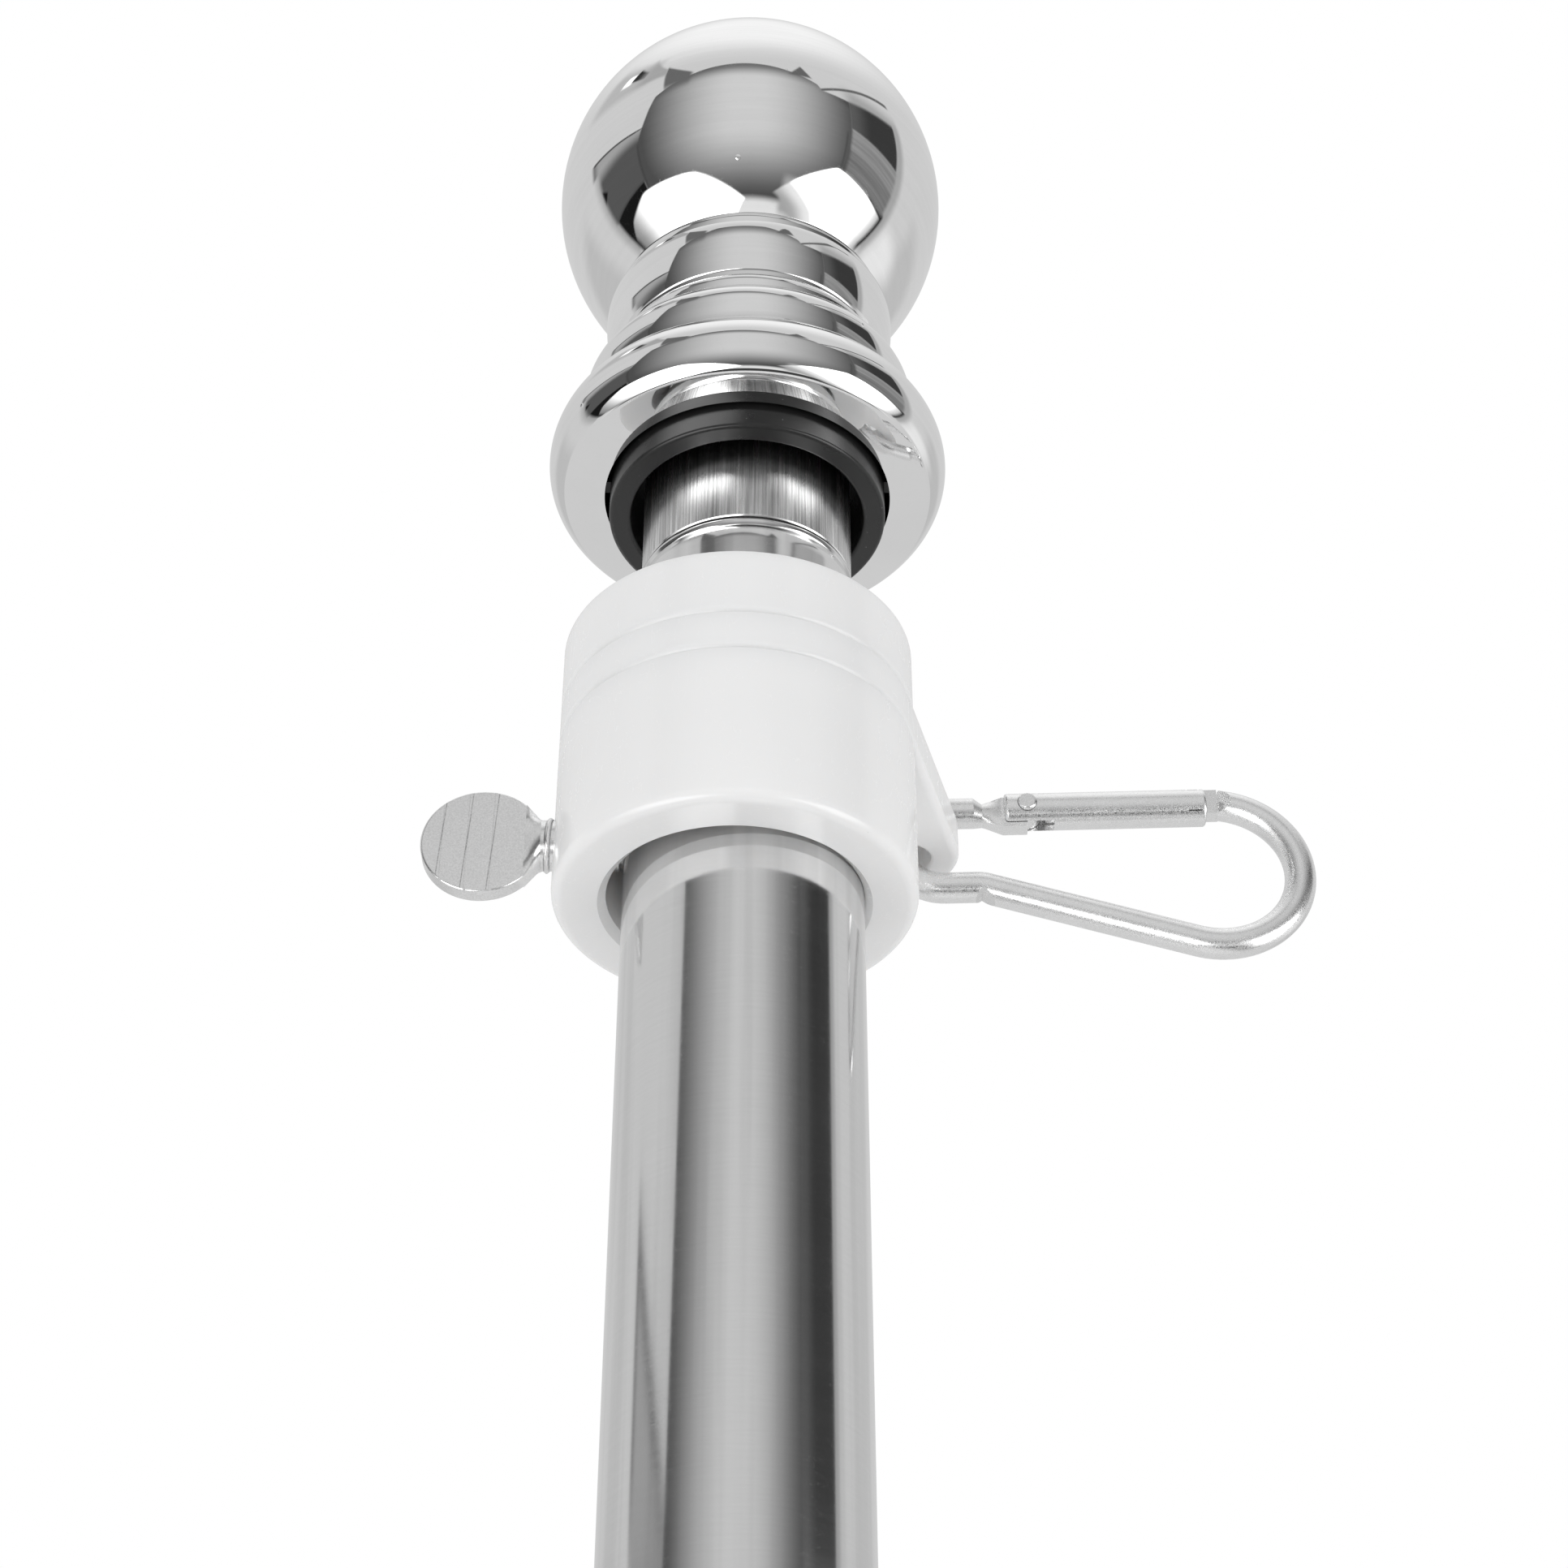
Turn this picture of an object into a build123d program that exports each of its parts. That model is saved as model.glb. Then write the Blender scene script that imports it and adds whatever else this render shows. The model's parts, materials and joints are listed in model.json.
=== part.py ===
from build123d import *

import os
from math import asin, cos, degrees, hypot, radians, sin, sqrt

# A sectional flagpole: swaged steel tubes on a foot plug, a ball finial pushed onto the top
# tenon, and two clamped rings. Each ring has a spinner that turns between its body and its cap,
# and the spinner's lug carries a snap hook for the flag.
# Millimetres, +Z up along the pole, origin at the middle of the foot's flat face.

# Pole tubes
section_count = 4
section_length = 352.0  # from a tube's lower end to its shoulder
tube_od = 28.0
tube_wall = 0.6
collar_clearance = 0.05  # polished step just above a shoulder, inside the next tube
collar_length = 17.0
tenon_clearance = 0.25  # brushed end that the next piece slides over
tenon_length = 35.0
tube_edge_break = 0.3
collar_chamfer = 0.5
swage_taper = 3.0  # height over which the bore narrows below a shoulder

# Foot plug
plug_flange = 3.0
plug_depth = 22.0
plug_wall = 2.2
plug_clearance = 0.1
plug_chamfer = 0.8

# Finial: radii are given by how far they stand out beyond the mouth's
neck_showing = 15.35  # tenon left bare between its collar and the finial
ball_od = 52.6
ball_wall = 1.2
mouth_gap = 0.7  # between the bushing and the mouth
mouth_bead_out = 2.0  # middle of the round bead about the mouth
mouth_bead_middle = 4.88  # its height above the flat foot
mouth_bead_width = 10.5
mouth_bead_height = 11.9
mouth_bead_end = 80.0  # degrees round the bead, from outwards
mouth_bead_edge = 0.4  # round where the bead meets the foot
finial_beads = (  # each bead's lower edge, crest and upper edge: out, and up from the foot
    ((2.35, 12.75), (3.2, 16.15), (1.6, 18.95)),
    ((-0.8, 20.65), (-0.3, 22.55), (-1.3, 23.85)),
    ((-0.75, 24.65), (0.8, 30.8), (0.7, 31.95)),
    ((-0.55, 33.05), (-0.3, 34.15), (-0.8, 35.25)),
)
socket_depth = 17.0  # bore that holds the bushing
stop_depth = 27.0  # narrower bore that leaves room for the tenon's end
stop_clearance = 1.0
ball_hole_r = 8.0

# Bushing in the finial's mouth
bushing_wall = 4.45
bushing_lip = 2.8  # thickness of its lower end outside the wider mouth
bushing_drop = 3.4  # how far it stands out below the finial
bushing_mouth_depth = 9.0
bushing_fit = 0.1
bushing_edge_round = 0.5
rib_count = 8
rib_width = 2.0
rib_start = 6.0  # above the bushing's lower end
rib_fit = 0.02

# Ring: body, spinner and cap share one outside diameter
ring_play = 1.9  # bore over tube
ring_neck_wall = 2.85
ring_cap_wall = 3.45
ring_body_height = 21.2
band_height = 5.35  # gap between body and cap that the spinner turns in
cap_height = 9.2
ring_over_shoulder = 5.2  # how far the upper ring reaches past the tube's shoulder
flag_hoist = 900.0  # from the upper ring to the lower one
clamp_clearance = 0.02
cap_lip = 2.0
cap_fit = 0.02
spin_fit = 0.08
spin_end_play = 0.05
body_foot_round = 1.3
bore_chamfer = 0.95
band_round = 1.0

# Thumbscrew
screw_r = 3.0
screw_height = 8.6  # above the ring's lower face
screw_fit = 0.05
screw_tip_clearance = 0.05
screw_tip_chamfer = 0.5
thumb_d = 14.4
thumb_thickness = 2.2
thumb_round = 0.3
thumb_gap = 1.2  # between the ring and a whole disc's edge
thumb_crease = 2.2  # from a whole disc's edge to where the face bends
thumb_neck_length = 2.0
grip_count = 3
grip_spacing = 2.95
grip_offset = 1.6  # from the disc's middle, away from the ring
grip_width = 0.35
grip_depth = 0.2

# Snap hook: a bent wire in one plane, closed by a sprung gate
wire_d = 3.9
link_gap = 0.45  # between the lug's rim and the wire's small end
mouth_end_r = 10.6  # wire's centre line round the large end
mouth_end_x = 34.0  # small end's centre to the large end's
mouth_rise = 0.4  # large end's top above the gate's centre line
hook_tilt = 1.7  # degrees that the mouth end hangs above level
hook_drop = 0.55  # small end's centre below the lug's middle
hook_shift = 0.2  # from the lug rim's middle towards the pole
hook_aside = 0.8  # from the eye's middle
back_straight = 4.6  # wire's straight run before it slants
back_bend_r = 4.0
crimp_depth = 1.1  # mark in the back, where the wire was bent
crimp_width = 1.9
pinch_start = 4.2  # wire is narrowed here, before its flat heel
pinch_length = 1.1
pinch_depth = 0.45  # off the wire's radius
heel_length = 2.6  # over which the wire widens again
heel_thickness = 2.0
heel_top_inset = 0.25  # below the wire's upper edge
heel_bottom_out = 0.85  # below the wire's lower edge
pivot_reach = 3.1  # from the full heel to the hinge
rivet_r = 1.2
rivet_fit = 0.05
rivet_proud = 0.35
rivet_round = 0.3
gate_wall = 0.45  # how much the gate's radius exceeds the wire's
gate_round = 0.4
gate_lead = 2.8  # gate beyond the hinge, towards the small end
gate_gap = 0.1  # each side of the heel
gate_slot_reach = 3.4  # from the hinge to the end of the fork's slot
gate_end_gap = 1.6  # gate's end to where the wire is round again
nose_shoulder = 1.4  # from the large end's centre to where the wire is round again
nose_ramp = 1.6  # over which the wire's sides are pressed down to the nose
nose_length = 3.7
nose_thickness = 2.0
nose_inset = 0.15  # off the wire's radius, above and below
nose_head_length = 1.2
nose_side_wall = 0.7  # of the gate beside the nose's head
nose_gap = 0.15
nose_head_gap = 0.3
spring_thickness = 0.4
spring_side_gap = 0.2
spring_lift = 0.7

# Spinner lug
lug_angle = 45.0  # direction of the lug about the pole, from +X
lug_gap = 8.15  # ring's outside to the middle of the lug's eye
lug_rim = 3.5
eye_play = 0.49  # of the wire in the eye, across the lug
eye_round = 0.4

# Heights and places that follow from the sizes above
tube_r = tube_od / 2
tube_bore_r = tube_r - tube_wall
collar_r = tube_bore_r - collar_clearance
tenon_r = tube_bore_r - tenon_clearance
top_shoulder = plug_flange + section_count * section_length
bushing_r = tenon_r + bushing_wall
mouth_r = bushing_r + mouth_gap
finial_z = top_shoulder + collar_length + neck_showing
ball_seat_out, finial_base_height = finial_beads[-1][2]
ball_seat_r = mouth_r + ball_seat_out
ring_bore_r = tube_r + ring_play / 2
ring_neck_r = ring_bore_r + ring_neck_wall
ring_r = ring_neck_r + ring_cap_wall
ring_height = ring_body_height + band_height + cap_height
upper_ring_z = top_shoulder + ring_over_shoulder - ring_height
lower_ring_z = upper_ring_z - flag_hoist
# The thumbscrew draws the ring over until its bore bears on the tube's far side.
ring_x = tube_r + clamp_clearance - ring_bore_r
wire_r = wire_d / 2
# The small end's wire passes outside the corners of the lug's rim, and fills the eye but for
# its play.
eye_end_r = hypot(lug_rim / 2 + hook_shift, band_height / 2) + link_gap + wire_r
eye_r = (eye_end_r + wire_r + hook_shift - lug_rim / 2 + eye_play) / 2
lug_tip_r = eye_r + lug_rim
lug_reach = ring_r + lug_gap
eye_x = ring_x + lug_reach * cos(radians(lug_angle))
eye_y = lug_reach * sin(radians(lug_angle))
hook_x = eye_x + eye_r + lug_rim / 2 - hook_shift
hook_y = eye_y + hook_aside
heel_x = pinch_start + pinch_length + heel_length
pivot_x = heel_x + pivot_reach
gate_r = wire_r + gate_wall
mouth_y = eye_end_r + mouth_rise - mouth_end_r
wire_end_x = mouth_end_x + nose_shoulder
wire_end_y = mouth_y + sqrt(mouth_end_r**2 - nose_shoulder**2)
gate_start = pivot_x - gate_lead
gate_end = wire_end_x - gate_end_gap
nose_start = wire_end_x - nose_length
nose_half = wire_r - nose_inset


def save(piece, name):
    piece.part.label = name
    export_step(piece.part, f"parts/{name}.step")


def foot_plug():
    """Moulded plug: a flange as wide as the tube, and a hollow stem inside it."""
    stem_r = tube_bore_r - plug_clearance
    with BuildPart() as plug:
        Cylinder(tube_r, plug_flange, align=(Align.CENTER, Align.CENTER, Align.MIN))
        chamfer(plug.edges().group_by(Axis.Z)[0], plug_chamfer)
        with BuildSketch(Plane.XY.offset(plug_flange)):
            Circle(stem_r)
            Circle(stem_r - plug_wall, mode=Mode.SUBTRACT)
        extrude(amount=plug_depth)
        chamfer(plug.edges().group_by(Axis.Z)[-1].sort_by(SortBy.RADIUS)[-1], plug_chamfer)
    return plug


def pole_section(bottom):
    """One tube: a plain socket below, then a shoulder, a collar and a tenon above."""
    shoulder = bottom + section_length
    collar_top = shoulder + collar_length
    top = collar_top + tenon_length
    swaged_bore_r = tenon_r - tube_wall
    with BuildPart() as section:
        with BuildSketch(Plane.XZ):
            with BuildLine():
                Polyline(
                    (tube_bore_r, bottom),
                    (tube_r - tube_edge_break, bottom),
                    (tube_r, bottom + tube_edge_break),
                    (tube_r, shoulder - tube_edge_break),
                    (tube_r - tube_edge_break, shoulder),
                    (collar_r, shoulder),
                    (collar_r, collar_top - collar_chamfer),
                    (tenon_r, collar_top),
                    (tenon_r, top - tube_wall),
                    (tenon_r - tube_wall / 2, top),
                    (swaged_bore_r, top),
                    (swaged_bore_r, shoulder - tube_wall),
                    (tube_bore_r, shoulder - tube_wall - swage_taper),
                    close=True,
                )
            make_face()
        revolve(axis=Axis.Z)
    return section


def finial_base():
    """Turned base: a flat foot, a round bead about the mouth, smaller ones above, and bores."""
    foot = finial_z
    top = foot + finial_base_height
    stop_r = tenon_r + stop_clearance
    bead_half_height = mouth_bead_height / 2
    bead_start = -degrees(asin(mouth_bead_middle / bead_half_height))
    with BuildPart() as base:
        with BuildSketch(Plane.XZ):
            with BuildLine():
                bead = EllipticalCenterArc(
                    (mouth_r + mouth_bead_out, foot + mouth_bead_middle),
                    mouth_bead_width / 2,
                    bead_half_height,
                    start_angle=bead_start,
                    arc_size=mouth_bead_end - bead_start,
                )
                below = bead @ 1
                for points in finial_beads:
                    low, crest, high = [(mouth_r + out, foot + up) for out, up in points]
                    Line(below, low)
                    TangentArc(crest, low, tangent=(0, -1))
                    TangentArc(crest, high, tangent=(0, 1))
                    below = high
                Polyline(
                    (ball_seat_r, top),
                    (ball_hole_r, top),
                    (ball_hole_r, foot + stop_depth),
                    (stop_r, foot + stop_depth),
                    (stop_r, foot + socket_depth),
                    (mouth_r, foot + socket_depth),
                    (mouth_r, foot),
                    bead @ 0,
                )
            make_face()
        revolve(axis=Axis.Z)
        foot_edges = base.edges().group_by(Axis.Z)[0].sort_by(SortBy.RADIUS)
        fillet(foot_edges[-1], mouth_bead_edge)
    return base


def finial_ball():
    """Hollow ball, cut flat where it sits on the base."""
    outer_r = ball_od / 2
    inner_r = outer_r - ball_wall
    drop = sqrt(outer_r**2 - ball_seat_r**2)
    seat = finial_z + finial_base_height
    middle = seat + drop
    with BuildPart() as ball:
        with BuildSketch(Plane.XZ):
            with BuildLine():
                Line((sqrt(inner_r**2 - drop**2), seat), (ball_seat_r, seat))
                ThreePointArc((ball_seat_r, seat), (outer_r, middle), (0, middle + outer_r))
                Line((0, middle + outer_r), (0, middle + inner_r))
                ThreePointArc(
                    (0, middle + inner_r),
                    (inner_r, middle),
                    (sqrt(inner_r**2 - drop**2), seat),
                )
            make_face()
        revolve(axis=Axis.Z)
    return ball


def finial_bushing():
    """Moulded sleeve in the finial's mouth: it is held by ribs and stands out below."""
    foot = finial_z - bushing_drop
    top = finial_z + socket_depth
    mouth_top = foot + bushing_mouth_depth
    rib_reach = mouth_r - rib_fit
    with BuildPart() as bushing:
        with BuildSketch(Plane.XY.offset(foot)):
            Circle(bushing_r)
            Circle(bushing_r - bushing_lip, mode=Mode.SUBTRACT)
        extrude(amount=bushing_mouth_depth)
        fillet(bushing.edges().group_by(Axis.Z)[0], bushing_edge_round)
        with BuildSketch(Plane.XY.offset(mouth_top)):
            Circle(bushing_r)
            Circle(tenon_r + bushing_fit, mode=Mode.SUBTRACT)
        extrude(amount=top - mouth_top)
        with BuildSketch(Plane.XY.offset(foot + rib_start)):
            with PolarLocations(0, rib_count):
                Rectangle(rib_reach, rib_width, align=(Align.MIN, Align.CENTER))
            Circle(rib_reach, mode=Mode.INTERSECT)
            Circle(bushing_r - bushing_lip / 2, mode=Mode.SUBTRACT)
        extrude(amount=top - foot - rib_start)
    return bushing


def ring_body(ring_z):
    """Clamped part of the ring: a thick foot, and a thinner neck that the spinner turns on."""
    screw_start = (ring_x - ring_r, 0, ring_z + screw_height)
    with BuildPart() as body:
        with BuildSketch(Plane((ring_x, 0, ring_z))):
            Circle(ring_r)
            Circle(ring_bore_r, mode=Mode.SUBTRACT)
        extrude(amount=ring_body_height)
        bore_edge, outer_edge = body.edges().group_by(Axis.Z)[0].sort_by(SortBy.RADIUS)
        fillet(outer_edge, body_foot_round)
        chamfer(bore_edge, bore_chamfer)
        with BuildSketch(Plane((ring_x, 0, ring_z + ring_body_height))):
            Circle(ring_neck_r)
            Circle(ring_bore_r, mode=Mode.SUBTRACT)
        extrude(amount=band_height + cap_height - cap_lip)
        with BuildSketch(Plane(screw_start, z_dir=(1, 0, 0))):
            Circle(screw_r + screw_fit)
        extrude(amount=ring_r, mode=Mode.SUBTRACT)
    return body


def ring_cap(ring_z):
    """Cap pressed over the neck's top: it holds the spinner down."""
    foot = ring_z + ring_body_height + band_height
    lip_z = foot + cap_height - cap_lip
    with BuildPart() as cap:
        with BuildSketch(Plane((ring_x, 0, foot))):
            Circle(ring_r)
            Circle(ring_neck_r + cap_fit, mode=Mode.SUBTRACT)
        extrude(amount=cap_height - cap_lip)
        with BuildSketch(Plane((ring_x, 0, lip_z))):
            Circle(ring_r)
            Circle(ring_bore_r, mode=Mode.SUBTRACT)
        extrude(amount=cap_lip)
        fillet(cap.edges().group_by(Axis.Z)[0].sort_by(SortBy.RADIUS)[-1], band_round)
    return cap


def ring_spinner(ring_z):
    """Flat ring with a tapered lug: its sides are the tangents from ring to rounded tip."""
    foot = ring_z + ring_body_height + spin_end_play
    tangent = asin((ring_r - lug_tip_r) / lug_reach)
    side = (sin(tangent), cos(tangent))
    with BuildPart() as spinner:
        lug_plane = Plane((ring_x, 0, foot)).rotated((0, 0, lug_angle))
        with BuildSketch(lug_plane):
            Circle(ring_r)
            with Locations((lug_reach, 0)):
                Circle(lug_tip_r)
            with BuildLine():
                Polyline(
                    (ring_r * side[0], ring_r * side[1]),
                    (lug_reach + lug_tip_r * side[0], lug_tip_r * side[1]),
                    (lug_reach + lug_tip_r * side[0], -lug_tip_r * side[1]),
                    (ring_r * side[0], -ring_r * side[1]),
                    close=True,
                )
            make_face()
            Circle(ring_neck_r + spin_fit, mode=Mode.SUBTRACT)
            with Locations((lug_reach, 0)):
                Circle(eye_r, mode=Mode.SUBTRACT)
        extrude(amount=band_height - 2 * spin_end_play)
        fillet(spinner.faces().sort_by(Axis.Z)[0].outer_wire().edges(), band_round)
        eye_edges = spinner.edges().filter_by(GeomType.CIRCLE).sort_by(SortBy.RADIUS)
        fillet([edge for edge in eye_edges if abs(edge.radius - eye_r) < eye_round], eye_round)
    return spinner


def thumbscrew(ring_z):
    """Screw that clamps the ring: a plain shank that widens into a flat gripped disc."""
    height = ring_z + screw_height
    tip_x = -tube_r - screw_tip_clearance
    disc_r = thumb_d / 2
    disc_x = ring_x - ring_r - thumb_gap - disc_r
    crease = disc_r - thumb_crease  # from the disc's middle
    crease_height = 2 * sqrt(disc_r**2 - crease**2)
    neck_x = disc_x + crease + thumb_neck_length
    face_y = thumb_thickness / 2
    with BuildPart() as screw:
        with BuildSketch(Plane((disc_x, 0, height), x_dir=(1, 0, 0), z_dir=(0, -1, 0))):
            Circle(disc_r)
            with Locations((crease, 0)):
                Rectangle(
                    disc_r, thumb_d, align=(Align.MIN, Align.CENTER), mode=Mode.SUBTRACT
                )
        extrude(amount=face_y, both=True)
        fillet(screw.edges().filter_by(GeomType.CIRCLE), thumb_round)
        with BuildSketch(Plane((disc_x + crease, 0, height), x_dir=(0, 1, 0), z_dir=(1, 0, 0))):
            Rectangle(thumb_thickness, crease_height)
        with BuildSketch(Plane((neck_x, 0, height), x_dir=(0, 1, 0), z_dir=(1, 0, 0))):
            Circle(screw_r)
        loft()
        with BuildSketch(Plane((neck_x, 0, height), z_dir=(1, 0, 0))):
            Circle(screw_r)
        extrude(amount=tip_x - neck_x)
        chamfer(screw.edges().sort_by(Axis.X)[-1], screw_tip_chamfer)
        for side in (-1, 1):
            face = Plane((disc_x, side * face_y, height), x_dir=(1, 0, 0), z_dir=(0, side, 0))
            with BuildSketch(face):
                with Locations((-grip_offset, 0)):
                    with GridLocations(grip_spacing, 1, grip_count, 1):
                        Rectangle(grip_width, thumb_d)
            extrude(amount=-grip_depth, mode=Mode.SUBTRACT)
    return screw


def hook_plane(ring_z):
    """The hook's plane: x along the hook, y up, its origin inside the wire's small end."""
    middle_z = ring_z + ring_body_height + band_height / 2 - hook_drop
    tilt = radians(hook_tilt)
    return Plane((hook_x, hook_y, middle_z), x_dir=(cos(tilt), 0, sin(tilt)), z_dir=(0, -1, 0))


def hook_section(plane, x, y=eye_end_r):
    """A plane across the hook's length at x, facing its large end, with the hook's own y up."""
    return Plane(plane.from_local_coords((x, y, 0)), x_dir=-plane.z_dir, z_dir=plane.x_dir)


def hook_frame(ring_z):
    """Bent wire with a flattened heel for the gate's hinge and a T-shaped nose."""
    plane = hook_plane(ring_z)
    # The slanted back touches the large end's arc: its slope comes from that tangent.
    across = mouth_end_x - back_straight
    below = mouth_y + eye_end_r
    slope = asin(mouth_end_r / hypot(across, below)) - asin(below / hypot(across, below))
    touch = (mouth_end_x - mouth_end_r * sin(slope), mouth_y - mouth_end_r * cos(slope))
    heel_top = eye_end_r + wire_r - heel_top_inset
    heel_bottom = eye_end_r - wire_r - heel_bottom_out
    heel_middle = (heel_top + heel_bottom) / 2
    nose_root = plane.from_local_coords((wire_end_x, wire_end_y, 0))
    with BuildPart() as frame:
        with BuildLine(plane) as wire:
            Line((pinch_start, eye_end_r), (0, eye_end_r))
            ThreePointArc((0, eye_end_r), (-eye_end_r, 0), (0, -eye_end_r))
            FilletPolyline(
                (0, -eye_end_r), (back_straight, -eye_end_r), touch, radius=back_bend_r
            )
            ThreePointArc(
                touch, (mouth_end_x + mouth_end_r, mouth_y), (wire_end_x, wire_end_y)
            )
        with BuildSketch(hook_section(plane, pinch_start)):
            Circle(wire_r)
        sweep(path=wire.wires()[0])
        # Pinch, then the heel: pressed flat, and rounded about the rivet.
        pinch = hook_section(plane, pinch_start + pinch_length, eye_end_r - pinch_depth)
        with BuildSketch(hook_section(plane, pinch_start)):
            Circle(wire_r)
        with BuildSketch(pinch):
            Circle(wire_r - pinch_depth)
        loft()
        with BuildSketch(pinch):
            Circle(wire_r - pinch_depth)
        with BuildSketch(hook_section(plane, heel_x, heel_middle)):
            Rectangle(heel_thickness, heel_top - heel_bottom)
        loft()
        with BuildSketch(plane):
            with Locations((heel_x, heel_middle)):
                Rectangle(
                    pivot_x - heel_x, heel_top - heel_bottom, align=(Align.MIN, Align.CENTER)
                )
            with Locations((pivot_x, eye_end_r)):
                Circle(wire_r)
                Circle(rivet_r, mode=Mode.SUBTRACT)
        extrude(amount=heel_thickness / 2, both=True)
        # Nose: a flat neck on the wire's pressed end, with a cross head inside the gate.
        for side in (-1, 1):
            with BuildSketch(Plane(nose_root, x_dir=plane.x_dir, z_dir=plane.y_dir)):
                with BuildLine():
                    Polyline(
                        (0, side * nose_thickness / 2),
                        (nose_ramp, side * wire_r),
                        (0, side * wire_d),
                        close=True,
                    )
                make_face()
            extrude(amount=wire_d, both=True, mode=Mode.SUBTRACT)
        with BuildSketch(plane):
            with Locations((nose_start, wire_end_y)):
                Rectangle(nose_length, 2 * nose_half, align=(Align.MIN, Align.CENTER))
        extrude(amount=nose_thickness / 2, both=True)
        with BuildSketch(hook_section(plane, nose_start)):
            with Locations((0, wire_end_y - eye_end_r)):
                Rectangle(2 * (gate_r - nose_side_wall), 2 * nose_half)
            Circle(gate_r, mode=Mode.INTERSECT)
        extrude(amount=nose_head_length)
        # Crimp mark across the back's bend.
        with BuildSketch(plane):
            with BuildLine():
                edge_y = -eye_end_r - wire_r
                Polyline(
                    (back_straight - crimp_width, edge_y - crimp_depth),
                    (back_straight, edge_y + crimp_depth),
                    (back_straight + crimp_width, edge_y - crimp_depth),
                    close=True,
                )
            make_face()
        extrude(amount=wire_d, both=True, mode=Mode.SUBTRACT)
    return frame


def hook_rivet(ring_z):
    """Hinge rivet through the heel and both cheeks of the gate, with rounded heads."""
    plane = hook_plane(ring_z)
    with BuildPart() as rivet:
        with BuildSketch(plane):
            with Locations((pivot_x, eye_end_r)):
                Circle(rivet_r)
        extrude(amount=gate_r + rivet_proud, both=True)
        fillet(rivet.edges().filter_by(GeomType.CIRCLE), rivet_round)
    return rivet


def hook_gate(ring_z):
    """Gate: a round bar forked over the heel, and slotted from above for the nose."""
    plane = hook_plane(ring_z)
    slot_floor = wire_end_y - nose_half - nose_gap
    head_slot = nose_start - nose_head_gap
    with BuildPart() as gate:
        with BuildSketch(hook_section(plane, gate_start)):
            Circle(gate_r)
        extrude(amount=gate_end - gate_start)
        fillet(gate.edges().filter_by(GeomType.CIRCLE), gate_round)
        with BuildSketch(plane):
            with Locations((gate_start, eye_end_r)):
                Rectangle(
                    gate_lead + gate_slot_reach, 4 * gate_r, align=(Align.MIN, Align.CENTER)
                )
        extrude(amount=heel_thickness / 2 + gate_gap, both=True, mode=Mode.SUBTRACT)
        with BuildSketch(plane):
            with Locations((pivot_x, eye_end_r)):
                Circle(rivet_r + rivet_fit)
        extrude(amount=2 * gate_r, both=True, mode=Mode.SUBTRACT)
        with BuildSketch(plane):
            with Locations((head_slot, slot_floor)):
                Rectangle(gate_end - head_slot, 2 * gate_r, align=(Align.MIN, Align.MIN))
        extrude(amount=nose_thickness / 2 + nose_gap, both=True, mode=Mode.SUBTRACT)
        with BuildSketch(plane):
            with Locations((head_slot, slot_floor)):
                Rectangle(
                    nose_head_length + 2 * nose_head_gap,
                    2 * gate_r,
                    align=(Align.MIN, Align.MIN),
                )
        extrude(amount=gate_r - nose_side_wall + nose_gap, both=True, mode=Mode.SUBTRACT)
    return gate


def hook_spring(ring_z):
    """Leaf spring in the gate's fork: it leans from the slot's end towards the heel."""
    plane = hook_plane(ring_z)
    heel_end = pivot_x + wire_r + gate_gap
    slot_end = pivot_x + gate_slot_reach
    with BuildPart() as spring:
        with BuildSketch(plane):
            with BuildLine():
                Polyline(
                    (slot_end, eye_end_r - spring_lift),
                    (slot_end, eye_end_r - spring_lift - spring_thickness),
                    (heel_end + spring_thickness, eye_end_r - spring_lift - spring_thickness),
                    (heel_end, eye_end_r + spring_lift),
                    (heel_end + spring_thickness, eye_end_r + spring_lift),
                    (heel_end + 2 * spring_thickness, eye_end_r - spring_lift),
                    close=True,
                )
            make_face()
        extrude(amount=heel_thickness / 2 - spring_side_gap, both=True)
    return spring


os.makedirs("parts", exist_ok=True)
save(foot_plug(), "foot_plug")
for number in range(section_count):
    save(pole_section(plug_flange + number * section_length), f"pole_section_{number + 1}")
save(finial_base(), "finial_base")
save(finial_ball(), "finial_ball")
save(finial_bushing(), "finial_bushing")
for place, place_z in (("upper", upper_ring_z), ("lower", lower_ring_z)):
    save(ring_body(place_z), f"{place}_ring_body")
    save(ring_cap(place_z), f"{place}_ring_cap")
    save(ring_spinner(place_z), f"{place}_ring_spinner")
    save(thumbscrew(place_z), f"{place}_thumbscrew")
    save(hook_frame(place_z), f"{place}_hook_frame")
    save(hook_rivet(place_z), f"{place}_hook_rivet")
    save(hook_gate(place_z), f"{place}_hook_gate")
    save(hook_spring(place_z), f"{place}_hook_spring")

print("ring heights", upper_ring_z, lower_ring_z)
print("ring axis x", ring_x, "hook", hook_x, hook_y, "small end", eye_end_r, "hinge", pivot_x)
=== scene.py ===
import json
import math

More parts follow.
